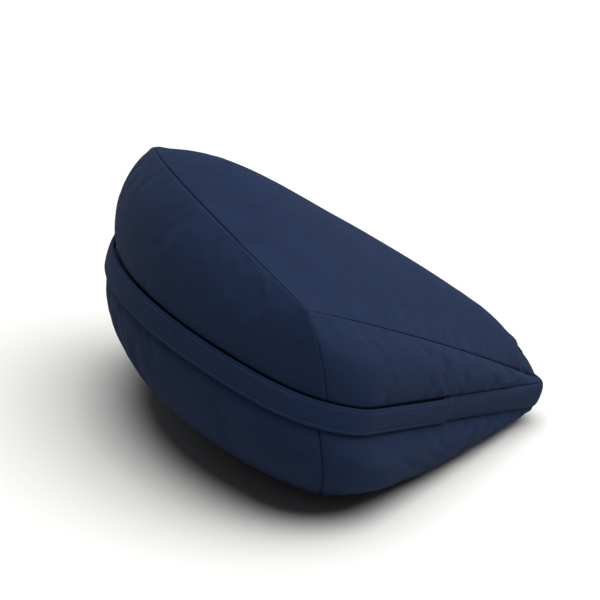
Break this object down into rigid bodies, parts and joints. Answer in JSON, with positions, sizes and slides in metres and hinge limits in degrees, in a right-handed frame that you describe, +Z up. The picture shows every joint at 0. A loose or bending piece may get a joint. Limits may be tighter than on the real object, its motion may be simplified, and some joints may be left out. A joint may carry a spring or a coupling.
{
  "type": "floor cushion",
  "caption": "Low wedge-shaped floor cushion with a tall rounded back, a pointed front, sewn cotton panels, a raised band hiding a zipper, and a bead-filled inner bag.",
  "frame": {"origin": "on the floor under the middle of the cushion's box", "axes": "+X towards the low tip, +Y to the left side along the cushion's width, +Z up"},
  "size_m": [0.4667, 0.5572, 0.282],
  "materials": {
    "cover_cotton": "matt woven cotton",
    "band_cotton": "matt woven cotton, doubled and topstitched",
    "seam_thread": "twisted sewing thread",
    "liner_cotton": "plain unbleached cotton",
    "beads": "expanded polystyrene",
    "zipper_tape": "herringbone tape",
    "zipper_coil": "nylon coil",
    "zipper_metal": "painted zinc, worn at the edges"
  },
  "bodies": {
    "cushion": {"back_lower_panel": "cover_cotton", "back_upper_panel": "cover_cotton", "bead_filling": "beads", "bottom_panel": "cover_cotton", "cover_zipper_coil_lower": "zipper_coil", "cover_zipper_coil_upper": "zipper_coil", "cover_zipper_stops": "zipper_metal", "cover_zipper_tape_lower": "zipper_tape", "cover_zipper_tape_upper": "zipper_tape", "front_band": "band_cotton", "left_lower_panel": "cover_cotton", "left_upper_panel": "cover_cotton", "liner_lower": "liner_cotton", "liner_upper": "liner_cotton", "liner_zipper_coil_lower": "zipper_coil", "liner_zipper_coil_upper": "zipper_coil", "liner_zipper_stops": "zipper_metal", "liner_zipper_tape_lower": "zipper_tape", "liner_zipper_tape_upper": "zipper_tape", "right_lower_panel": "cover_cotton", "right_upper_panel": "cover_cotton", "top_panel": "cover_cotton", "zipper_flap": "band_cotton"},
    "cover_slider": {"cover_zipper_slider": "zipper_metal"},
    "liner_slider": {"liner_zipper_slider": "zipper_metal"}
  },
  "joints": [
    {"name": "cover_slider_slide", "type": "slide", "parent": "cushion", "child": "cover_slider", "axis": [-0.7417, 0.6361, 0.2127], "range_m": [0, 0.12]},
    {"name": "liner_slider_slide", "type": "slide", "parent": "cushion", "child": "liner_slider", "axis": [-0.7417, -0.6361, 0.2127], "range_m": [0, 0.235]}
  ]
}
